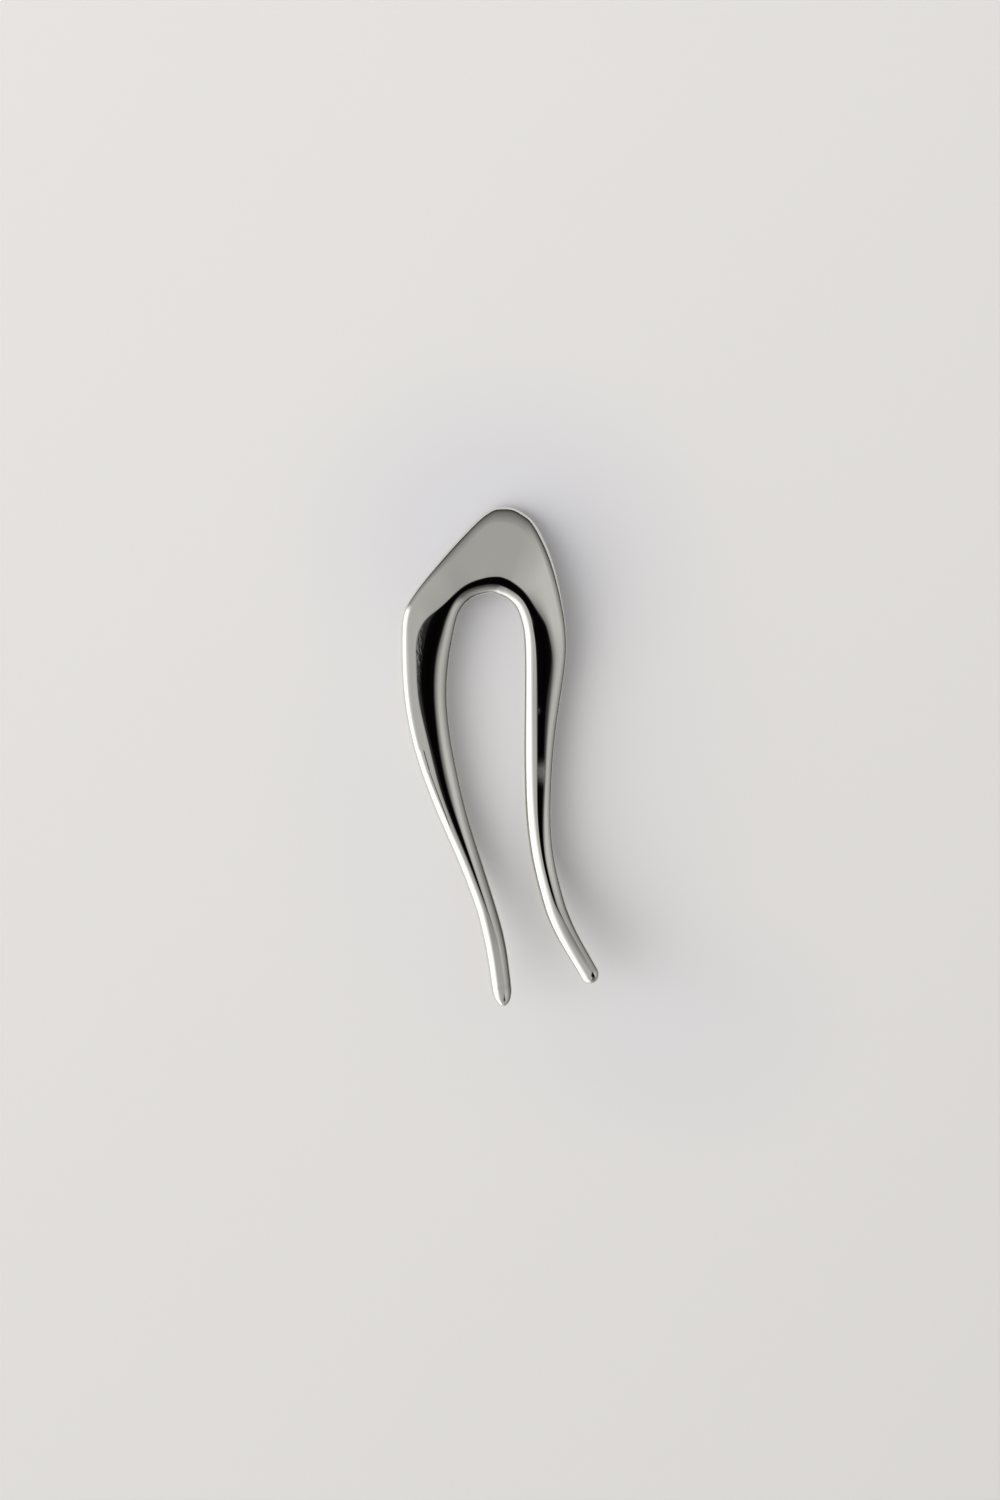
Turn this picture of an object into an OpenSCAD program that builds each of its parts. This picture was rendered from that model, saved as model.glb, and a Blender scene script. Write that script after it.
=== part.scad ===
// French hair pin: a heavy one-piece U of polished metal, bowed along its prongs.
// A narrow crest runs round the opening, and a broad bevel falls from it to the outer rim.

/* [Size] */
// Length of the pin, from the top of the head to the lower prong tip
pin_l = 110; // [95:1:125]
// Radius that the prongs are bowed to, seen from the side
prong_bow_r = 165; // [130:5:300]
// Radius that the head is bowed to, seen from the side
head_bow_r = 1200; // [700:50:3000]
// Where the level stretch of the underside ends towards the tips
level_from = -3; // [-6:0.5:2]
// Where the level stretch of the underside ends towards the head
level_to = 17; // [12:0.5:24]

/* [Section] */
// Width of the tight rounding along each edge
edge_w = 0.1; // [0.06:0.02:0.2]
// Tilt where the rounding of an edge takes over, degrees
edge_tilt = 50; // [42:1:60]
// Tilt at the knee of the inner side, degrees
knee_tilt = 23; // [20:0.5:28]
// Tilt where the inner side turns over to the crest, degrees
turn_tilt = 12.5; // [10:0.5:14]
// Tilt of the crest where its strip beside the crease begins, degrees
strip_tilt = 6.5; // [5:0.1:6.8]
// Tilt of the crest at the crease, degrees
crease_tilt = 7.4; // [7:0.1:7.8]
// Width of the softened crease between crest and bevel
crease_w = 0.2; // [0.1:0.05:0.3]
// Width of the softened lip between bevel and rim
lip_w = 0.2; // [0.1:0.05:0.3]
// Width of the rounding under each edge
under_w = 2.2; // [1.5:0.1:2.4]

/* [Tips] */
// Length of the rounded end of the left prong
left_tip_l = 4.4; // [2.5:0.1:5.5]
// Length of the rounded end of the right prong
right_tip_l = 2.5; // [2:0.1:5.5]

/* [Hidden] */

// Columns of the section table
IX = 0;         // inner edge, x
IY = 1;         // inner edge, y
OX = 2;         // outer edge, x
OY = 3;         // outer edge, y
TALL = 4;       // height of the crest above the underside
KNEE = 5;       // from the inner edge to the knee of the inner side
CREST = 6;      // from the inner edge to the crest's inner border
CREASE = 7;     // from the inner edge to the crease
TURN = 8;       // width of the soft turn before the crest
STRIP = 9;      // width of the crest's strip beside the crease
RIM = 10;       // width of the rounded rim
PEAK = 11;      // tilt at the crest's inner border, degrees
BEVEL = 12;     // tilt of the bevel at the crease, degrees
SHOULDER = 13;  // tilt of the bevel where the rim begins, degrees
LIP = 14;       // tilt of the rim past its lip, degrees

// One row for each section, from the left tip round the head to the right tip,
// in millimetres for a pin of the length below. Columns in the order above.
table_l = 110;
SECTIONS = [
  [   2.3, -50.3,  -2.15,  -50.6,  2.9, 1.15,  1.6, 1.65,  0.1, 0.05, 1.7,   7,  7.8,    8,   22],
  [   1.1, -41.1,  -3.47,    -42,  3.5,  1.2, 1.68, 1.73,  0.1, 0.05, 1.8,   7,  8.3,  8.6,   22],
  [  -0.8,   -34,   -5.1,  -35.3,  3.8,  1.3, 1.94, 2.08,  0.1, 0.05, 1.8, 6.5,    9,  9.4,   22],
  [ -1.65, -31.1,  -5.93,  -32.5,  3.9,  1.3, 1.92, 2.32,  0.2, 0.05, 1.8, 6.5,  9.2,   11,   22],
  [ -4.52, -21.9,  -9.23,  -23.8,  4.2, 1.45, 2.18, 2.73,  0.3, 0.05, 1.8, 6.5,  9.2,   12,   22],
  [ -7.35, -12.9, -13.05,  -15.2, 4.45, 1.35, 2.48, 3.59,  0.7,  0.1, 1.7, 6.5,  9.2,   13,   22],
  [ -9.42,  -4.1, -16.55,   -6.5,  4.6, 1.27, 3.13, 4.63,    1,  0.6, 1.5, 6.5,   10,   16,   22],
  [-11.05,   4.5, -19.43,    2.5,  4.8, 1.37,  2.9, 5.06,  0.8,  0.4, 1.4, 6.5,   11,   18,   22],
  [-11.86,  12.8, -21.25,   11.7,    5, 1.37, 2.89, 6.25,  0.8,  0.8, 1.4, 6.5,   11,   19,   22],
  [ -11.5,  19.8, -21.84,     20,  5.2, 1.42, 3.05,    7,  0.8,  0.8, 1.4, 6.5,   11,   20,   22],
  [ -10.8,  24.7,  -21.9,   26.4,  5.4, 1.27, 2.75, 7.72,  0.8,  1.8, 1.4, 6.5, 10.3,   19,   22],
  [ -10.2,  27.8,  -21.5,   31.4,  5.5, 1.17,  2.5, 6.75,  0.6,    1, 1.5, 6.5, 10.3,   17,   21],
  [  -9.8,  29.7,  -19.7,   34.9,  5.6, 1.12, 2.33, 4.85,  0.6,  0.1, 1.7, 6.5,   11,   15,   16],
  [    -9,  31.9,  -17.2,   38.4,  5.7, 1.12, 2.22,  3.5,  0.4,  0.1, 1.8, 6.5, 11.3, 14.5, 15.5],
  [  -7.5,  33.9, -14.05,  42.25,  5.8, 1.15,  2.2, 3.09,  0.3,  0.1, 2.3, 6.5, 11.3,   14,   15],
  [  -5.5,  35.2,  -10.6,   46.4,  5.9,  1.1, 1.92, 3.13,  0.4,  0.1, 2.8, 6.5, 11.3,   14,   15],
  [  -3.5,  35.7,   -5.7,   51.7,    6,  1.2, 1.92,  3.3,  0.4,  0.1, 2.9, 6.5, 11.3,   14,   15],
  [  -2.7,  35.8,   -3.3,   53.6,    6,  1.2, 1.97, 3.42,  0.4,  0.1, 3.1, 6.5, 11.3,   14,   15],
  [  -1.8,  35.8,   -1.5,   54.7,    6, 1.25,    2, 3.54,  0.4,  0.1, 3.4, 6.5, 11.3,   14,   15],
  [  -1.1,  35.7,      1,   54.9,    6,  1.3, 2.06, 3.67,  0.4,  0.1, 3.7, 6.5, 11.3,   14,   15],
  [  -0.5,  35.5,    3.3,   54.6,    6,  1.2,  2.1,  3.8,  0.4,  0.1, 3.8, 6.5, 11.3,   14,   15],
  [   0.3,  35.2,    5.6,     53,    6,  1.2, 2.05, 3.75,  0.3,  0.1, 3.6, 6.5, 11.3, 14.2,   15],
  [   1.1, 34.85,    7.8,   50.9,    6, 1.15, 2.04, 3.66,  0.3,  0.1, 3.4, 6.5,   11, 14.2,   15],
  [   2.6,  33.7,   10.8,   44.7,  5.9,  1.2, 2.06, 3.57,  0.2,  0.1, 2.8, 6.5, 10.2, 14.3, 15.5],
  [   3.7,  32.1,   12.5,   38.6,  5.8,  1.3, 2.15, 3.56,  0.2,  0.1, 2.1, 6.5,   10,   16,   17],
  [   4.4,    30,   13.4,   34.2,  5.7,  1.4,  2.3, 4.12, 0.15,  0.1, 1.7, 6.5,  9.7,   17,   19],
  [   4.9,  27.9,   14.1,   30.1,  5.5,  1.4, 2.22, 5.07, 0.15,  0.1, 1.4, 6.5,  9.3,   19,   21],
  [   5.2,    25,   14.4,     26,  5.4, 1.45,  2.4, 5.55, 0.15,  0.1, 1.2, 6.5,  9.1,   20,   22],
  [   5.3,  20.5,   14.3,   20.5,  5.2, 1.45,  2.6, 6.18,  0.2,  0.2, 1.2, 6.5,  8.8,   21,   22],
  [  5.27,  12.6,   13.1,     12,    5, 1.55,  2.9, 5.36,  0.8,  0.6, 1.2, 6.5,    9,   21,   22],
  [  5.17,   3.7,   11.9,    3.2,  4.8,  1.7, 2.93, 4.76,  0.5,  0.3, 1.2, 6.5,    9,   21,   22],
  [  5.27,  -5.3,   11.3,   -5.4,  4.6,  1.7, 2.85, 4.32,  0.4,  0.2, 1.1, 6.5,    9,   21,   22],
  [  5.67, -14.3,   11.1,    -14, 4.45,  1.8, 2.51, 3.62, 0.15,  0.1, 1.1, 6.5,    9,   20,   21],
  [  6.88, -23.5,  11.75,  -22.6,  4.2,  1.9, 2.46, 3.08,  0.2, 0.05, 1.1, 6.5,   10,   20,   21],
  [  9.23, -32.6,  13.83, -31.05, 3.85, 1.95, 2.52, 3.22,  0.3, 0.05, 1.2, 6.5,   11,   20,   21],
  [ 10.42,   -36,  14.89, -34.15, 3.75, 1.95,  3.1, 3.22,  0.7, 0.05, 1.2, 8.6,   12,   20,   21],
  [  12.7, -40.8,  16.83,  -38.8,  3.5, 1.85, 3.25, 3.33,  1.2, 0.05,   1, 9.3,   12,   20,   21],
  [  17.7, -48.7,  21.08, -46.35,  3.1,  1.5, 2.88, 2.93,  1.1, 0.05, 0.8, 8.6,   12,   20,   21],
];

size_scale = pin_l / table_l;
last = len(SECTIONS) - 1;
rings_per_row = 4;
tip_rings = 5;
step_w = 0.06;                              // least width of a stretch of the section
under_steps = 3;                            // facets of the rounding under each edge

// A row past either end mirrors the row inside it
function row(i) =
    i < 0 ? 2 * SECTIONS[0] - SECTIONS[-i]
    : i > last ? 2 * SECTIONS[last] - SECTIONS[2 * last - i]
    : SECTIONS[i];

// Control row of a smooth cubic curve that passes through the table's rows
function control(i) = (8 * row(i) - row(i - 1) - row(i + 1)) / 6;

// The table read at any place t between its rows
function blended(t) =
    let (i = min(floor(t), last - 1), f = t - i)
    (pow(1 - f, 3) * control(i - 1)
     + (3 * pow(f, 3) - 6 * f * f + 4) * control(i)
     + (3 * f + 3 * f * f - 3 * pow(f, 3) + 1) * control(i + 1)
     + pow(f, 3) * control(i + 2)) / 6;

// Height that the bow lifts the underside to
function sagitta(d, r) = r - sqrt(r * r - d * d);
function bow(y) =
    y < level_from ? sagitta(level_from - y, prong_bow_r)
    : y > level_to ? sagitta(y - level_to, head_bow_r)
    : 0;

// The section at place t, its lengths set by the pin's length and its tilts kept
function section(t) =
    let (s = blended(t))
    [for (c = [IX : LIP]) c >= PEAK ? s[c] : s[c] * size_scale];

function inner(s) = [s[IX], s[IY]];
function outer(s) = [s[OX], s[OY]];
function width(s) = norm(outer(s) - inner(s));

// Upper outline of a section, as [across, tilt, facets up to the next knot].
// Each stretch is an arc, and tilt is positive where the surface faces outwards.
function knots(s) =
    let (
        w = width(s),
        crease = min(max(s[CREASE], s[CREST] + 2 * step_w), w - s[RIM] - crease_w - step_w),
        strip = min(max(s[CREASE] - s[STRIP], s[CREST] + step_w), crease - step_w),
        crest = min(s[CREST], strip - step_w),
        knee = min(s[KNEE], crest - s[TURN] - step_w),
        bevel = max(s[BEVEL], crease_tilt + 0.3),
        shoulder = max(s[SHOULDER], bevel + 0.2))
    [
        [0, -90, 2],
        [edge_w, -edge_tilt, 3],
        [knee, -knee_tilt, 2],
        [crest - s[TURN], -turn_tilt, 1],
        [crest, -s[PEAK], 2],
        [strip, strip_tilt, 1],
        [crease, crease_tilt, 1],
        [crease + crease_w, bevel, 2],
        [w - s[RIM], shoulder, 1],
        [w - s[RIM] + lip_w, s[LIP], 3],
        [w - edge_w, edge_tilt, 2],
        [w, 90, 0],
    ];

// Point [across, height] part way, f, along the arc from knot k at height z to the next knot
function arc_point(k, next, z, f) =
    let (r = (next[0] - k[0]) / (sin(next[1]) - sin(k[1])), tilt = k[1] + (next[1] - k[1]) * f)
    [k[0] + r * (sin(tilt) - sin(k[1])), z + r * (cos(tilt) - cos(k[1]))];

// Points [across, height] of the upper outline, the inner edge at height 0
function upper_points(ks, i = 0, z = 0) =
    i == len(ks) - 1 ? [[ks[i][0], z]]
    : concat(
        [for (j = [0 : ks[i][2] - 1]) arc_point(ks[i], ks[i + 1], z, j / ks[i][2])],
        upper_points(ks, i + 1, arc_point(ks[i], ks[i + 1], z, 1)[1]));

// Lower outline: a quarter ellipse under each edge, level between them
function lower_points(w, z_outer, z_inner) =
    let (c = min(under_w, 0.48 * w))
    concat(
        [for (j = [1 : under_steps])
            let (a = 90 * j / under_steps) [w - c + c * cos(a), z_outer * (1 - sin(a))]],
        [for (j = [under_steps : -1 : 1])
            let (a = 90 * j / under_steps) [c - c * cos(a), z_inner * (1 - sin(a))]]);

// Whole outline of a section, its crest at the table's height
function outline(s) =
    let (
        up = upper_points(knots(s)),
        lift = s[TALL] - max([for (p = up) p[1]]),
        top = [for (p = up) [p[0], p[1] + lift]])
    concat(top, lower_points(width(s), top[len(top) - 1][1], top[0][1]));

// Ring of a section in space, drawn in by k about its middle and moved by slide in plan
function ring(s, k = 1, slide = [0, 0]) =
    let (
        w = width(s),
        across = (outer(s) - inner(s)) / w,
        mid = (outer(s) + inner(s)) / 2 + slide)
    [
        for (p = outline(s))
            let (
                q = mid + across * (p[0] - w / 2) * k,
                z = s[TALL] / 2 + (p[1] - s[TALL] / 2) * k)
            [q[0], q[1], z + bow(q[1])]
    ];

// Direction in plan from one section's middle to another's
function heading(from, to) =
    let (d = inner(to) + outer(to) - inner(from) - outer(from)) d / norm(d);

// Rings of a rounded tip beyond section s, nearest the section first
function tip(s, direction, tip_l) = [
    for (j = [1 : tip_rings - 1])
        let (a = 90 * j / tip_rings) ring(s, cos(a), direction * tip_l * sin(a))
];

function reversed(list) = [for (i = [len(list) - 1 : -1 : 0]) list[i]];

function end_point(s, direction, tip_l) =
    let (q = (outer(s) + inner(s)) / 2 + direction * tip_l)
    [q[0], q[1], s[TALL] / 2 + bow(q[1])];

module hair_pin() {
    first = section(0);
    final = section(last);
    left = heading(section(1 / rings_per_row), first);
    right = heading(section(last - 1 / rings_per_row), final);
    rings = concat(
        reversed(tip(first, left, left_tip_l)),
        [for (i = [0 : last * rings_per_row]) ring(section(i / rings_per_row))],
        tip(final, right, right_tip_l));
    n = len(rings[0]);
    rows = len(rings);
    points = concat(
        [for (r = rings) each r],
        [end_point(first, left, left_tip_l), end_point(final, right, right_tip_l)]);
    sides = [
        for (i = [0 : rows - 2], j = [0 : n - 1])
            let (a = i * n + j, b = i * n + (j + 1) % n)
            each [[a, b, b + n], [a, b + n, a + n]]
    ];
    ends = [
        for (j = [0 : n - 1])
            each [
                [rows * n, (j + 1) % n, j],
                [rows * n + 1, (rows - 1) * n + j, (rows - 1) * n + (j + 1) % n]
            ]
    ];
    color("silver") polyhedron(points, concat(sides, ends));
}

hair_pin();
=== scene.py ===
"""The looks of the french hair pin: one cast and polished metal loop, lying on pale paper."""

import bpy
import numpy as np
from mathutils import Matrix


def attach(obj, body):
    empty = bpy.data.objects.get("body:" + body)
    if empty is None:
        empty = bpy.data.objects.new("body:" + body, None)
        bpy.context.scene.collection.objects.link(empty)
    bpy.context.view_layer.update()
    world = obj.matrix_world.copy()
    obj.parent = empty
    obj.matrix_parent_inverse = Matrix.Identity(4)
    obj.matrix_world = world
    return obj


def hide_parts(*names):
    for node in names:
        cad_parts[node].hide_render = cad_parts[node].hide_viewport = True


MM = 0.001
DEGREES = 57.29578  # in a radian
HORIZON = 90

# The form, as in the part's source: sections across the bar from the left tip over the head to the
# right tip. A row has the inner edge's x and y, the outer edge's x and y, and the height (mm); then
# along the section from the inner edge the knee, the crest and the crease (mm); the widths of the
# soft turn before the crest, of the strip before the crease and of the rim (mm); then tilts
# (degrees): at the crest, of the facet beside the crease, of the facet at its shoulder, and where
# the rim starts to round over.
SECTIONS = np.array([
    [2.3, -50.3, -2.15, -50.6, 2.9, 1.15, 1.60, 1.65, 0.1, 0.05, 1.7, 7.0, 8.6, 13, 22],
    [1.1, -41.1, -3.47, -42.0, 3.5, 1.20, 1.68, 1.73, 0.1, 0.05, 1.8, 7.0, 8.3, 8.6, 22],
    [-0.8, -34.0, -5.1, -35.3, 3.8, 1.30, 1.94, 2.08, 0.1, 0.05, 1.8, 6.5, 9.0, 9.4, 22],
    [-1.65, -31.1, -5.93, -32.5, 3.9, 1.30, 1.92, 2.32, 0.2, 0.05, 1.8, 6.5, 9.2, 11, 22],
    [-4.52, -21.9, -9.23, -23.8, 4.2, 1.45, 2.18, 2.73, 0.3, 0.05, 1.8, 6.5, 9.2, 12, 22],
    [-7.35, -12.9, -13.05, -15.2, 4.45, 1.35, 2.48, 3.59, 0.7, 0.1, 1.7, 6.5, 9.2, 13, 22],
    [-9.42, -4.1, -16.55, -6.5, 4.6, 1.27, 3.13, 4.63, 1.0, 0.6, 1.5, 6.5, 10, 16, 22],
    [-11.05, 4.5, -19.43, 2.5, 4.8, 1.37, 2.90, 5.06, 0.8, 0.4, 1.4, 6.5, 11, 18, 22],
    [-11.86, 12.8, -21.25, 11.7, 5.0, 1.37, 2.89, 6.25, 0.8, 0.8, 1.4, 6.5, 11, 19, 22],
    [-11.5, 19.8, -21.84, 20.0, 5.2, 1.42, 3.05, 7.00, 0.8, 0.8, 1.4, 6.5, 11, 20, 22],
    [-10.8, 24.7, -21.9, 26.4, 5.4, 1.27, 2.75, 7.72, 0.8, 1.8, 1.4, 6.5, 10.3, 19, 22],
    [-10.2, 27.8, -21.5, 31.4, 5.5, 1.17, 2.50, 6.75, 0.6, 1.0, 1.5, 6.5, 10.3, 17, 21],
    [-9.8, 29.7, -19.7, 34.9, 5.6, 1.12, 2.33, 4.85, 0.6, 0.1, 1.7, 6.5, 11, 15, 16],
    [-9.0, 31.9, -17.2, 38.4, 5.7, 1.12, 2.22, 3.50, 0.4, 0.1, 1.8, 6.5, 11.3, 14.5, 15.5],
    [-7.5, 33.9, -14.05, 42.25, 5.8, 1.15, 2.2, 3.09, 0.3, 0.1, 2.3, 6.5, 11.3, 14, 15],
    [-5.5, 35.2, -10.6, 46.4, 5.9, 1.10, 1.92, 3.13, 0.4, 0.1, 2.8, 6.5, 11.3, 14, 15],
    [-3.5, 35.7, -5.7, 51.7, 6.0, 1.2, 1.92, 3.30, 0.4, 0.1, 2.9, 6.5, 11.3, 14, 15],
    [-2.7, 35.8, -3.3, 53.54, 6.0, 1.2, 1.97, 3.42, 0.4, 0.1, 3.1, 6.5, 11.3, 14, 15],
    [-1.8, 35.8, -1.5, 54.62, 6.0, 1.25, 2.00, 3.54, 0.4, 0.1, 3.4, 6.5, 11.3, 14, 15],
    [-1.1, 35.7, 1.0, 54.82, 6.0, 1.3, 2.06, 3.67, 0.4, 0.1, 3.7, 6.5, 11.3, 14, 15],
    [-0.5, 35.5, 3.27, 54.52, 6.0, 1.20, 2.10, 3.80, 0.4, 0.1, 3.8, 6.5, 11.3, 14, 15],
    [0.3, 35.2, 5.6, 53.0, 6.0, 1.20, 2.05, 3.75, 0.3, 0.1, 3.6, 6.5, 11.3, 14.2, 15],
    [1.1, 34.85, 7.8, 50.9, 6.0, 1.15, 2.04, 3.66, 0.3, 0.1, 3.4, 6.5, 11, 14.2, 15],
    [2.6, 33.7, 10.8, 44.7, 5.9, 1.20, 2.06, 3.57, 0.2, 0.1, 2.8, 6.5, 10.2, 14.3, 15.5],
    [3.7, 32.1, 12.5, 38.6, 5.8, 1.30, 2.15, 3.56, 0.2, 0.1, 2.1, 6.5, 10, 16, 17],
    [4.4, 30.0, 13.4, 34.2, 5.7, 1.40, 2.30, 4.12, 0.15, 0.1, 1.7, 6.5, 9.7, 17, 19],
    [4.9, 27.9, 14.1, 30.1, 5.5, 1.40, 2.22, 5.07, 0.15, 0.1, 1.4, 6.5, 9.3, 19, 21],
    [5.2, 25.0, 14.4, 26.0, 5.4, 1.45, 2.40, 5.55, 0.15, 0.1, 1.2, 6.5, 9.1, 20, 22],
    [5.3, 20.5, 14.3, 20.5, 5.2, 1.45, 2.60, 6.18, 0.2, 0.2, 1.2, 6.5, 8.8, 21, 22],
    [5.27, 12.6, 13.04, 12.0, 5.0, 1.55, 2.9, 5.36, 0.8, 0.6, 1.2, 6.5, 9, 21, 22],
    [5.17, 3.7, 11.84, 3.2, 4.8, 1.70, 2.93, 4.76, 0.5, 0.3, 1.2, 6.5, 9, 21, 22],
    [5.27, -5.3, 11.24, -5.4, 4.6, 1.70, 2.85, 4.32, 0.4, 0.2, 1.1, 6.5, 9, 21, 22],
    [5.67, -14.3, 11.04, -14.0, 4.45, 1.80, 2.51, 3.62, 0.15, 0.1, 1.1, 6.5, 9, 20, 21],
    [6.88, -23.5, 11.75, -22.6, 4.2, 1.90, 2.46, 3.08, 0.2, 0.05, 1.1, 6.5, 10, 20, 21],
    [9.23, -32.6, 13.83, -31.05, 3.85, 1.95, 2.52, 3.22, 0.3, 0.05, 1.2, 6.5, 11, 20, 21],
    [10.42, -36.0, 14.89, -34.15, 3.75, 1.95, 3.10, 3.22, 0.7, 0.05, 1.2, 8.6, 12, 20, 21],
    [12.7, -40.8, 16.83, -38.8, 3.5, 1.85, 3.25, 3.33, 1.2, 0.05, 1.0, 9.3, 12, 20, 21],
    [17.7, -48.7, 21.08, -46.35, 3.1, 1.50, 2.88, 2.93, 0.35, 0.05, 0.8, 8.6, 12, 20, 21],
])
LAST = len(SECTIONS) - 1

# The bow (mm): the underside is level between two places, then rises along an arc to either end.
PRONG_BOW_R, HEAD_BOW_R = 165.0, 1200.0
LEVEL_FROM, LEVEL_TO = -3.0, 17.0

# What all sections share: widths (mm) and tilts (degrees) that the rows don't give.
EDGE_W = 0.06
CREASE_W = 0.2
LIP_W = 0.2
STEP_W = 0.03
KNEE_TILT = 23.0
TURN_TILT = 12.5
STRIP_TILT = 6.5
CREASE_TILT = 7.4

# The thin edges that face left are tilted more than those that face right. Along the head either
# edge turns from one to the other, between two rows.
LEFT_EDGE_TILT, RIGHT_EDGE_TILT = 50.0, 46.0
INNER_EDGE_ROWS = (12, 20)
OUTER_EDGE_ROWS = (23, 28)

# The rounded corners of the underside: their width (mm), and the widest share of a narrow section.
UNDER_W = 2.2
UNDER_SHARE = 0.48

# How far the tips reach past the first and the last row (mm).
LEFT_TIP_L, RIGHT_TIP_L = 4.4, 2.5

# How finely the visible mesh follows that form.
RINGS_PER_ROW = 16
TIP_RINGS = 16
ARC_STEPS = (5, 14, 9, 7, 14, 6, 4, 14, 4, 14, 5)
UNDER_STEPS = 7
HEADING_STEP = 0.01

# The metal: its colour, the cloudy unevenness of its tint and roughness, and the marks of its
# finishing, placed by x and y (mm). A spot has its middle, its reach along x and y, and its
# strength, which is full up to a share of the reach.
METAL = (0.81, 0.795, 0.742)
CLOUD_SCALE, CLOUD_DETAIL = 260, 4
CLOUD_LOW, CLOUD_HIGH = 0.3, 0.7
CLOUD_TINT = 0.015
ROUGH_FROM, ROUGH_TO = 0.03, 0.06
DULL_SPOTS = (((8.95, -3.5), (1.7, 4.6), 0.27), ((8.45, 10.0), (0.5, 1.5), 0.14))
# The hairline is two ridges: start, end, how wide they slope on the left and on the right, height.
HAIRLINE = (
    ((-17.3, 1.9), (-15.65, -3.9), 0.3, 1.2, 1.25),
    ((-16.1, -2.6), (-11.1, -16.0), 0.2, 0.9, 1.0),
)
STREAKED_SPOT = ((-18.0, 22.0), (2.6, 11.0), 0.5)
STREAKS_PER_MM, STREAK_DETAIL = (2.2, 0.9), 3
MARK_H = 0.00003
SPOT_CORE = 0.1
RIDGE_END_L = 1.0

# The paper: its colour at the near right and at the far left, how its lightness grows along x and
# y, and how far (mm) it goes on growing. This growing lightness is painted light, a falloff that is
# brightest towards the softbox at the far left.
PAPER_PAINTED_DIM, PAPER_PAINTED_LIT = (0.850, 0.831, 0.809), (0.995, 0.973, 0.952)
PAPER_ALONG_X, PAPER_ALONG_Y = -0.3, 0.255
PAPER_REACH = 80.0
# The paper's faint glow is painted fill light: it lifts the paper and its shadows alike.
PAPER_PAINTED_FILL, PAPER_PAINTED_FILL_TINT = 0.065, (1.0, 0.98, 0.97, 1)
FLOOR_HALF = 12.0
# The painted shadow on the paper, a cool darkening where the pin's shadow falls: its colour, and
# spots round the pin, by its head and past its tips.
PAINTED_SHADOW_TINT = (0.0, 0.12, 0.55)
PAINTED_SHADOW_SPOTS = (
    ((3.0, 0.0), (64.0, 100.0), 0.045),
    ((0.0, 50.0), (56.0, 45.0), 0.09),
    ((40.0, -60.0), (45.0, 36.0), 0.05),
)

# The room's walls, from straight above (0) down to the horizon (90): the angle (degrees) and the
# tone of grey (0 to 255) that the metal shows there.
ROOM = (
    (0, 3), (11, 5), (13, 22), (15, 62), (17, 98), (20, 122), (24, 146), (28, 160), (34, 172),
    (44, 174), (50, 167), (56, 158), (63, 151), (70, 138), (76, 120), (82, 88), (86, 52), (90, 36),
)
DRAPE = (
    (0, 2), (13, 5), (15.5, 38), (17.5, 95), (20, 146), (22.5, 158), (28, 156), (32, 150),
    (38, 142), (46, 136), (54, 127), (62, 117), (70, 108), (75, 98), (80, 82), (84, 64), (90, 50),
)
CORNER = (
    (0, 1), (12, 5), (15, 40), (18, 62), (24, 75), (36, 100), (48, 125), (60, 135), (68, 130),
    (78, 100), (84, 60), (90, 40),
)
LEFT_WALL = (
    (0, 3), (11, 4), (13, 17), (15, 50), (17, 134), (20, 160), (24, 169), (32, 167), (38, 170),
    (60, 165), (74, 150), (82, 130), (90, 110),
)
SIDE = (
    (0, 3), (11, 5), (13, 22), (15, 62), (17, 112), (19, 143), (21, 167), (23, 174), (27, 176),
    (31, 175), (38, 174), (46, 170), (54, 160), (62, 145), (70, 125), (76, 102), (82, 76), (90, 40),
)
PATCH_TONE = 184

# Which directions (degrees) each of them fills: it starts, is full, is full no more, and ends.
# They are counted from straight right (0) over the head's side (90), but for LEFT_SPAN and the
# softbox from straight left (0), growing towards the tips. The patch ends above and below as well.
SIDE_SPAN = (14.0, 34.0, 60.0, 90.0)
PATCH_SPAN, PATCH_DROP = (-5.0, 10.0, 28.0, 50.0), (20.0, 30.0, 38.0, 56.0)
DRAPE_SPAN = (26.0, 74.0, 110.0, 165.0)
LEFT_SPAN = (-48.0, -20.0, 60.0, 80.0)
CORNER_SPAN = (-120.0, -95.0, -60.0, -34.0)

# The softbox as it lights the paper: brightness, tint, and share by the angle from straight above.
SOFTBOX_TOP = 30
SOFTBOX = 5.5
SOFTBOX_TINT = (1.012, 1.0, 0.992)
SOFTBOX_SPAN = (-24.0, -10.0, 28.0, 75.0)
SHONE = (
    (30, 0.1), (41, 0.2), (48, 0.35), (56, 0.55), (62, 0.75), (70, 1), (78, 1.1), (86, 0.9),
)
# The softbox as the metal mirrors it: it reaches further round in its lower part.
MIRRORED = 1.6
MIRRORED_SPAN, MIRRORED_LOW_SPAN = (-30.0, -18.0, 30.0, 90.0), (-30.0, -18.0, 35.0, 118.0)
MIRRORED_LOW_FROM, MIRRORED_LOW_TO = 60.0, 68.0
SHOWN = (
    (36, 0), (40, 0.08), (44, 0.22), (50, 0.5), (56, 0.8), (62, 1), (80, 1), (84, 0.7), (88, 0.4),
    (90, 0.2),
)
# What the metal throws back onto the paper is fainter by these shares.
LESS_MIRRORED, LESS_SHINING = 0.95, 0.6

# The camera: what it aims at and how tall a field it sees there (m), its lens and sensor (mm).
AIM_X, AIM_Y, AIM_Z = -0.00018, 0.00136, 0.004
FIELD_H = 0.330
LENS, SENSOR_W = 200, 36
FARTHEST = 50


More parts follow.
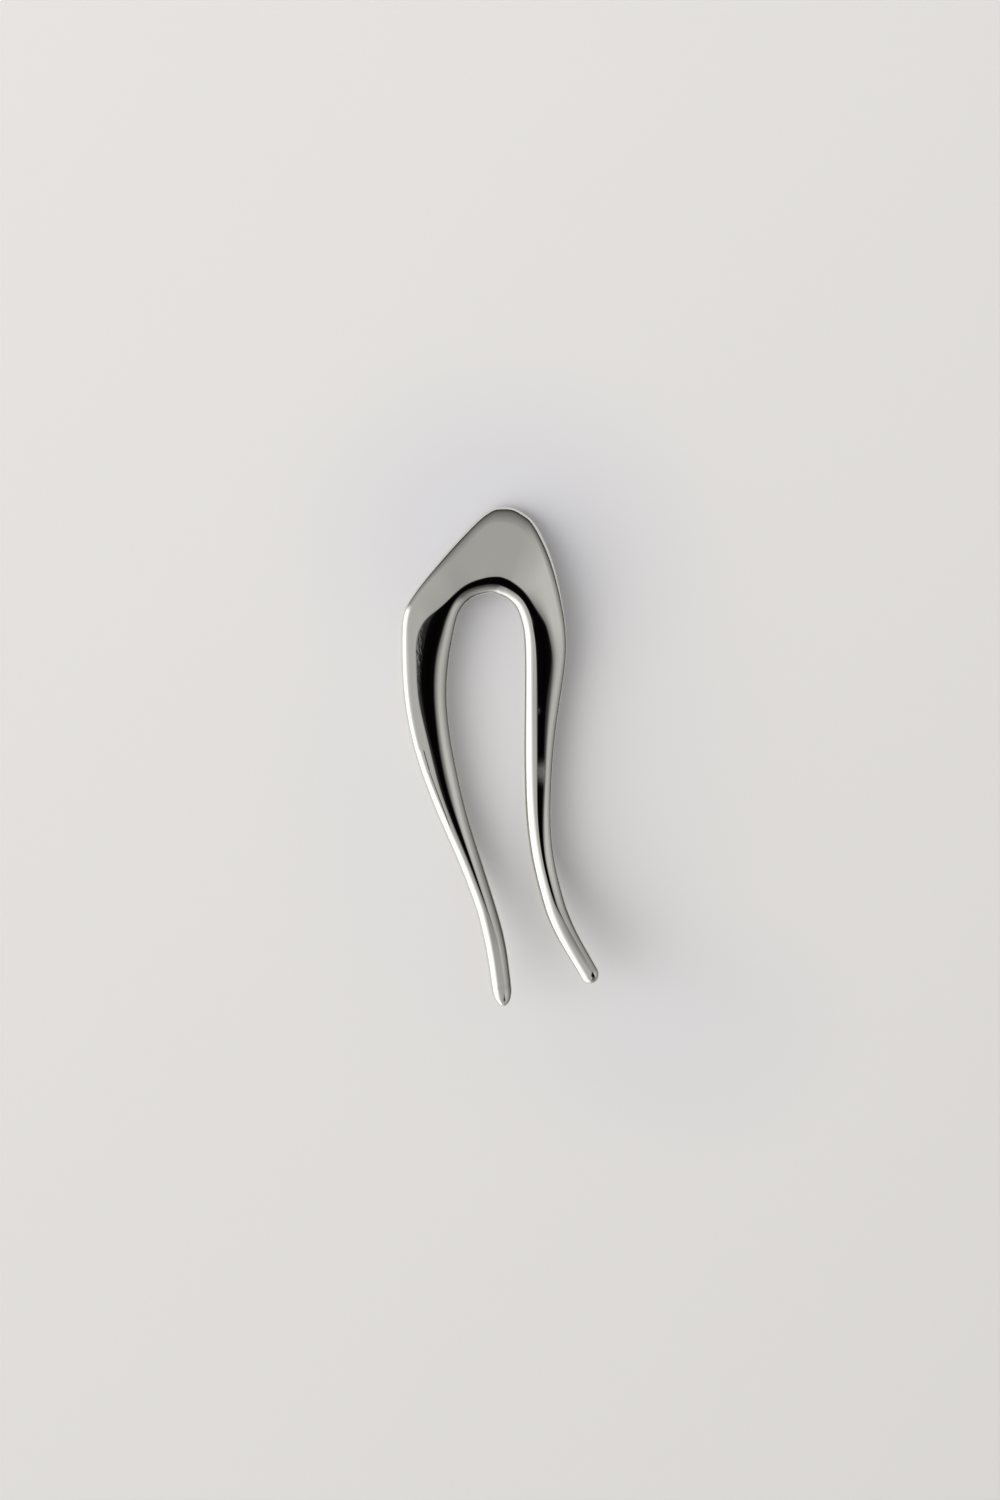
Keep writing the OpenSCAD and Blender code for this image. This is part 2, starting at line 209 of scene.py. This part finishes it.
def section(t):
    """The numbers of the section at t, on the cubic spline through the rows."""

    def row(i):
        if i < 0:
            return 2 * SECTIONS[0] - SECTIONS[-i]
        if i > LAST:
            return 2 * SECTIONS[LAST] - SECTIONS[2 * LAST - i]
        return SECTIONS[i]

    def control(i):
        return (8 * row(i) - row(i - 1) - row(i + 1)) / 6

    i = min(int(np.floor(t)), LAST - 1)
    f = t - i
    weights = (
        (1 - f) ** 3,
        3 * f ** 3 - 6 * f ** 2 + 4,
        -3 * f ** 3 + 3 * f ** 2 + 3 * f + 1,
        f ** 3,
    )
    return sum(w * control(i + k - 1) for k, w in enumerate(weights)) / 6


def arc_rise(radius, run):
    """How far an arc has risen after this run."""
    return radius - np.sqrt(radius ** 2 - run ** 2)


def bow(y):
    """How far the underside stands above the table: level in the middle, rising to both ends."""
    prong = np.clip(LEVEL_FROM - y, 0, None)
    head = np.clip(y - LEVEL_TO, 0, None)
    return arc_rise(PRONG_BOW_R, prong) + arc_rise(HEAD_BOW_R, head)


def ring(t):
    """One closed section as points (distance from the inner edge, height)."""
    (ix, iy, ox, oy, tall, knee, crest, crease, turn, strip, rim,
     peak, bevel, shoulder, lip) = section(t)
    wide = np.hypot(ox - ix, oy - iy)
    strip = max(strip, 2 * STEP_W)
    crest = min(crest, crease - strip - STEP_W)
    inner_edge = np.interp(t, INNER_EDGE_ROWS, (RIGHT_EDGE_TILT, LEFT_EDGE_TILT))
    outer_edge = np.interp(t, OUTER_EDGE_ROWS, (LEFT_EDGE_TILT, RIGHT_EDGE_TILT))
    # Places along the section and the tilt there: below 0 the top rises outward, above 0 it falls.
    knots = [
        (0, -90),
        (EDGE_W, -inner_edge),
        (min(knee, crest - turn - STEP_W), -KNEE_TILT),
        (crest - turn, -TURN_TILT),
        (crest, -peak),
        (crease - strip, STRIP_TILT),
        (crease, CREASE_TILT),
        (crease + CREASE_W, bevel),
        (wide - rim, shoulder),
        (wide - rim + LIP_W, lip),
        (wide - EDGE_W, outer_edge),
        (wide, 90),
    ]
    z = 0.0
    points = []
    for (u0, t0), (u1, t1), steps in zip(knots, knots[1:], ARC_STEPS):
        a0, a1 = np.radians(t0), np.radians(t1)
        r = (u1 - u0) / (np.sin(a1) - np.sin(a0))
        a = a0 + (a1 - a0) * np.arange(steps) / steps
        points += list(zip(u0 + r * (np.sin(a) - np.sin(a0)), z + r * (np.cos(a) - np.cos(a0))))
        z += r * (np.cos(a1) - np.cos(a0))
    points.append((wide, z))
    points = np.array(points)
    points[:, 1] += tall - points[:, 1].max()
    corner = min(UNDER_W, UNDER_SHARE * wide)
    a = np.radians(90 * np.arange(1, UNDER_STEPS + 1) / UNDER_STEPS)
    outer = np.column_stack([
        wide - corner + corner * np.cos(a),
        points[-1, 1] * (1 - np.sin(a)),
    ])
    inner = np.column_stack([
        corner - corner * np.cos(a[::-1]),
        points[0, 1] * (1 - np.sin(a[::-1])),
    ])
    return np.concatenate([points, outer, inner[:-1]])


def heading_at(t):
    """The unit direction in which the bar runs on at its end, away from the head."""
    end, before = (0, HEADING_STEP) if t < LAST / 2 else (LAST, LAST - HEADING_STEP)
    a, b = section(before), section(end)
    d = (b[0:2] + b[2:4] - a[0:2] - a[2:4]) / 2
    return d / np.hypot(*d)


def placed(t, shrink=1.0, along=0.0):
    """The section at t as points in space; a tip's sections shrink and slide along the bar."""
    s = section(t)
    wide, tall = np.hypot(s[2] - s[0], s[3] - s[1]), s[4]
    across = (s[2:4] - s[0:2]) / wide
    flat = ring(t)
    u = wide / 2 + (flat[:, 0] - wide / 2) * shrink
    z = tall / 2 + (flat[:, 1] - tall / 2) * shrink
    xy = s[0:2] + np.outer(u, across) + heading_at(t) * along
    return np.column_stack([xy, z + bow(xy[:, 1])])


def pin_mesh():
    """The whole pin as vertices (m) and faces."""
    turns = [np.radians(90 * k / TIP_RINGS) for k in range(1, TIP_RINGS)]
    rings = [placed(0, np.cos(a), LEFT_TIP_L * np.sin(a)) for a in reversed(turns)]
    rings += [placed(k / RINGS_PER_ROW) for k in range(LAST * RINGS_PER_ROW + 1)]
    rings += [placed(LAST, np.cos(a), RIGHT_TIP_L * np.sin(a)) for a in turns]
    verts = np.concatenate(rings)
    ends = []
    for t, length in ((0, LEFT_TIP_L), (LAST, RIGHT_TIP_L)):
        s = section(t)
        xy = (s[0:2] + s[2:4]) / 2 + heading_at(t) * length
        ends.append([*xy, s[4] / 2 + bow(xy[1])])
    count = len(rings[0])
    pairs = [(j, (j + 1) % count) for j in range(count)]
    faces = []
    for low in range(0, len(verts) - count, count):
        faces += [(low + j, low + k, low + count + k, low + count + j) for j, k in pairs]
    left_end, right_end = len(verts), len(verts) + 1
    base = len(verts) - count
    for j, k in pairs:
        faces.append((k, j, left_end))
        faces.append((base + j, base + k, right_end))
    return np.concatenate([verts, ends]) * MM, faces


class Graph:
    """Builds a shader out of nodes, with short names for sums."""

    def __init__(self, tree):
        self.tree = tree
        tree.nodes.clear()

    def node(self, kind, **settings):
        made = self.tree.nodes.new(kind)
        for name, value in settings.items():
            setattr(made, name, value)
        return made

    def link(self, value, socket):
        if isinstance(value, bpy.types.NodeSocket):
            self.tree.links.new(value, socket)
        else:
            socket.default_value = value

    def split(self, vector):
        """The x, y and z of a vector."""
        parts = self.node("ShaderNodeSeparateXYZ")
        self.link(vector, parts.inputs[0])
        return parts.outputs

    def math(self, operation, *values):
        made = self.node("ShaderNodeMath", operation=operation)
        for value, socket in zip(values, made.inputs):
            self.link(value, socket)
        return made.outputs[0]

    def chain(self, operation, first, *others):
        for other in others:
            first = self.math(operation, first, other)
        return first

    def plus(self, *values):
        return self.chain("ADD", *values)

    def minus(self, *values):
        return self.chain("SUBTRACT", *values)

    def times(self, *values):
        return self.chain("MULTIPLY", *values)

    def rescale(self, value, low, high, **settings):
        """0 at low, 1 at high, straight between them unless the settings say otherwise."""
        made = self.node("ShaderNodeMapRange", **settings)
        for v, name in ((value, "Value"), (low, "From Min"), (high, "From Max")):
            self.link(v, made.inputs[name])
        return made.outputs[0]

    def fade(self, value, start, end):
        """0 up to start, 1 from end on, smooth between them."""
        return self.rescale(value, start, end, interpolation_type="SMOOTHSTEP")

    def window(self, value, start, full, last, end):
        """0 before start and past end, 1 between full and last, smooth between them."""
        return self.times(self.fade(value, start, full), self.fade(value, end, last))

    def ramp(self, value, low, high, stops):
        """A colour ramp over low to high; stops are (value, (r, g, b))."""
        made = self.node("ShaderNodeValToRGB")
        elements = made.color_ramp.elements
        while len(elements) < len(stops):
            elements.new(0.5)
        for e, (at, colour) in zip(elements, stops):
            e.position = (at - low) / (high - low)
            e.color = (*colour, 1)
        self.link(self.rescale(value, low, high), made.inputs[0])
        return made.outputs[0]

    def mix(self, share, a, b):
        """a where share is 0, b where it is 1."""
        made = self.node("ShaderNodeMix", data_type="RGBA")
        self.link(share, made.inputs[0])
        for value, socket in ((a, made.inputs[6]), (b, made.inputs[7])):
            self.link((*value, 1) if isinstance(value, tuple) else value, socket)
        return made.outputs[2]


def light(tone):
    """The light that the metal shows as this tone of grey on a screen (0 to 255)."""
    c = tone / 255
    linear = c / 12.92 if c < 0.04045 else ((c + 0.055) / 1.055) ** 2.4
    return (linear / METAL[1],) * 3


def wall(g, zenith, tones):
    """What the metal mirrors of one wall."""
    return g.ramp(zenith, 0, HORIZON, [(at, light(tone)) for at, tone in tones])


def strength(g, zenith, shares):
    """How strong the softbox is, by the angle from straight above."""
    return g.ramp(zenith, SOFTBOX_TOP, HORIZON, [(at, (share,) * 3) for at, share in shares])


def studio():
    """The room that the metal mirrors: a dark ceiling straight above, soft grey walls, and a broad
    white softbox low on the left."""
    world = bpy.data.worlds.new("studio")
    bpy.context.scene.world = world
    world.use_nodes = True
    g = Graph(world.node_tree)
    x, y, z = g.split(g.node("ShaderNodeTexCoord").outputs["Generated"])
    zenith = g.times(g.math("ARCCOSINE", z), DEGREES)
    around = g.times(g.math("ARCTAN2", y, x), DEGREES)
    back = g.times(g.math("ARCTAN2", g.times(y, -1.0), g.times(x, -1.0)), DEGREES)
    sky = g.mix(g.window(around, *SIDE_SPAN), wall(g, zenith, ROOM), wall(g, zenith, SIDE))
    patch = g.times(g.window(around, *PATCH_SPAN), g.window(zenith, *PATCH_DROP))
    sky = g.mix(patch, sky, light(PATCH_TONE))
    sky = g.mix(g.window(around, *DRAPE_SPAN), sky, wall(g, zenith, DRAPE))
    sky = g.mix(g.window(back, *LEFT_SPAN), sky, wall(g, zenith, LEFT_WALL))
    sky = g.mix(g.window(around, *CORNER_SPAN), sky, wall(g, zenith, CORNER))
    # The metal throws only a little of the softbox's light onto the paper.
    path = g.node("ShaderNodeLightPath")
    onto_paper = g.math("MINIMUM", path.outputs["Diffuse Depth"], 1.0)
    glint = g.times(onto_paper, g.minus(1.0, path.outputs["Is Diffuse Ray"]))
    mirrored_share = g.minus(1.0, g.times(onto_paper, LESS_MIRRORED))
    shining_share = g.minus(1.0, g.times(glint, LESS_SHINING))
    # The softbox fills a window of directions on the left. The metal mirrors it dimmer than it
    # shines on the paper, as a softbox's fabric is brightest where it faces the floor.
    low = g.fade(zenith, MIRRORED_LOW_FROM, MIRRORED_LOW_TO)
    reach = g.mix(low, g.window(back, *MIRRORED_SPAN), g.window(back, *MIRRORED_LOW_SPAN))
    mirrored = g.times(reach, strength(g, zenith, SHOWN), mirrored_share)
    span = g.window(back, *SOFTBOX_SPAN)
    shining = g.times(span, strength(g, zenith, SHONE), shining_share)
    seen_in_metal = g.mix(mirrored, sky, (MIRRORED,) * 3)
    lighting_paper = g.mix(shining, sky, tuple(SOFTBOX * c for c in SOFTBOX_TINT))
    sky = g.mix(path.outputs["Is Glossy Ray"], lighting_paper, seen_in_metal)
    glow = g.node("ShaderNodeBackground")
    g.link(sky, glow.inputs["Color"])
    g.link(glow.outputs[0], g.node("ShaderNodeOutputWorld").inputs[0])


def spot(g, x, y, middle, reach, full):
    """full at the middle of an oval, 0 from its rim on (mm)."""
    u = g.math("DIVIDE", g.minus(x, middle[0]), reach[0])
    v = g.math("DIVIDE", g.minus(y, middle[1]), reach[1])
    far = g.math("SQRT", g.plus(g.times(u, u), g.times(v, v)))
    return g.times(g.fade(far, 1.0, SPOT_CORE), full)


def ridge(g, x, y, start, end, left, right, full):
    """A low ridge from start to end (mm), full on its line: it drops to 0 within so much on the
    left and on the right of the line."""
    dx, dy = end[0] - start[0], end[1] - start[1]
    length = float(np.hypot(dx, dy))
    px, py = g.minus(x, start[0]), g.minus(y, start[1])
    along = g.plus(g.times(px, dx / length), g.times(py, dy / length))
    aside = g.minus(g.times(px, dy / length), g.times(py, dx / length))
    sides = g.times(g.fade(aside, -left, 0.0), g.fade(aside, right, 0.0))
    ends = g.window(along, 0.0, RIDGE_END_L, length - RIDGE_END_L, length)
    return g.times(sides, ends, full)


def noise(g, vector, scale, detail):
    made = g.node("ShaderNodeTexNoise")
    g.link(vector, made.inputs["Vector"])
    made.inputs["Scale"].default_value = scale
    made.inputs["Detail"].default_value = detail
    return made.outputs["Fac"]


def new_material(name):
    """A material with an empty graph, the place on the object (m), and its x and y (mm)."""
    material = bpy.data.materials.new(name)
    material.use_nodes = True
    g = Graph(material.node_tree)
    place = g.node("ShaderNodeTexCoord").outputs["Object"]
    x, y = (g.times(v, 1 / MM) for v in g.split(place)[:2])
    return material, g, place, x, y


def polished_metal():
    """Bright polished metal with the marks of its finishing: faint unevenness all over, two dull
    spots on the right prong's crest, fine streaks on the left shoulder, and the hairline that the
    file left on the left prong's bevel."""
    material, g, place, x, y = new_material("polished_metal")
    shader = g.node("ShaderNodeBsdfPrincipled")
    shader.inputs["Metallic"].default_value = 1
    cloud = noise(g, place, CLOUD_SCALE, CLOUD_DETAIL)
    dim = tuple((1 - CLOUD_TINT) * c for c in METAL)
    bright = tuple((1 + CLOUD_TINT) * c for c in METAL)
    g.link(g.mix(cloud, dim, bright), shader.inputs["Base Color"])
    uneven = g.rescale(cloud, CLOUD_LOW, CLOUD_HIGH)
    polish = g.plus(ROUGH_FROM, g.times(uneven, ROUGH_TO - ROUGH_FROM))
    dull = g.plus(*(spot(g, x, y, *mark) for mark in DULL_SPOTS))
    g.link(g.plus(polish, dull), shader.inputs["Roughness"])
    stretched = g.node("ShaderNodeCombineXYZ")
    for value, per_mm, socket in zip((x, y), STREAKS_PER_MM, stretched.inputs):
        g.link(g.times(value, per_mm), socket)
    streaks = noise(g, stretched.outputs[0], 1, STREAK_DETAIL)
    streaked = g.times(spot(g, x, y, *STREAKED_SPOT), streaks)
    hairline = g.math("MAXIMUM", *(ridge(g, x, y, *part) for part in HAIRLINE))
    bump = g.node("ShaderNodeBump")
    bump.inputs["Distance"].default_value = MARK_H
    g.link(g.plus(hairline, streaked), bump.inputs["Height"])
    g.link(bump.outputs[0], shader.inputs["Normal"])
    g.link(shader.outputs[0], g.node("ShaderNodeOutputMaterial").inputs[0])
    return material


def floor_paper():
    """Matt pale paper, a little warm, with painted light and shade: lighter towards the far left in
    a painted falloff of the softbox's light, and darker round the pin in a cool painted shadow,
    most of all by its head and beyond its tips."""
    material, g, _, x, y = new_material("floor_paper")
    shader = g.node("ShaderNodeBsdfPrincipled")
    # Painted light: the paper grows lighter towards the far left, as if nearer the softbox.
    painted_falloff = g.plus(g.times(y, PAPER_ALONG_Y), g.times(x, PAPER_ALONG_X))
    ends = ((-PAPER_REACH, PAPER_PAINTED_DIM), (PAPER_REACH, PAPER_PAINTED_LIT))
    paper = g.ramp(painted_falloff, -PAPER_REACH, PAPER_REACH, ends)
    # Painted shadow: the paper is darkened and cooled round the pin, by its head and past its tips.
    painted_shadow = g.plus(*(spot(g, x, y, *mark) for mark in PAINTED_SHADOW_SPOTS))
    g.link(g.mix(painted_shadow, paper, PAINTED_SHADOW_TINT), shader.inputs["Base Color"])
    # Painted fill light: the paper glows faintly, though it is no lamp.
    shader.inputs["Emission Color"].default_value = PAPER_PAINTED_FILL_TINT
    shader.inputs["Emission Strength"].default_value = PAPER_PAINTED_FILL
    shader.inputs["Roughness"].default_value = 0.9
    shader.inputs["Specular IOR Level"].default_value = 0.0
    g.link(shader.outputs[0], g.node("ShaderNodeOutputMaterial").inputs[0])
    return material


def add_mesh(name, verts, faces, material, smooth):
    mesh = bpy.data.meshes.new(name)
    mesh.from_pydata([tuple(v) for v in verts], [], faces)
    mesh.validate()
    mesh.materials.append(material)
    if smooth:
        mesh.shade_smooth()
    made = bpy.data.objects.new(name, mesh)
    bpy.context.scene.collection.objects.link(made)
    return made


def add_pin():
    verts, faces = pin_mesh()
    pin = add_mesh("pin_polished", verts, faces, polished_metal(), smooth=True)
    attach(pin, "root")
    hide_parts("hair_pin")


def add_floor():
    r = FLOOR_HALF
    corners = [(-r, -r, 0), (r, -r, 0), (r, r, 0), (-r, r, 0)]
    floor = add_mesh("floor", corners, [(0, 1, 2, 3)], floor_paper(), smooth=False)


def add_camera():
    """Straight above, far enough away that the pin is seen almost without perspective."""
    data = bpy.data.cameras.new("camera")
    data.lens = LENS
    data.sensor_width = SENSOR_W
    data.clip_end = FARTHEST
    camera = bpy.data.objects.new("camera", data)
    camera.location = (AIM_X, AIM_Y, AIM_Z + FIELD_H * LENS / SENSOR_W)
    bpy.context.scene.collection.objects.link(camera)
    bpy.context.scene.camera = camera


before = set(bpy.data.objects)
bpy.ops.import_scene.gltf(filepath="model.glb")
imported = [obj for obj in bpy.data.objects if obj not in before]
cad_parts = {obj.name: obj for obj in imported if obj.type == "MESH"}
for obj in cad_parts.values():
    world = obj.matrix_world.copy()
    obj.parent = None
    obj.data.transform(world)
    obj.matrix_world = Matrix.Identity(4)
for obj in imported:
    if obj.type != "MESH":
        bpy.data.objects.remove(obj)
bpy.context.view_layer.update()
bpy.context.scene.view_settings.view_transform = "Standard"
studio()
add_floor()
add_pin()
add_camera()
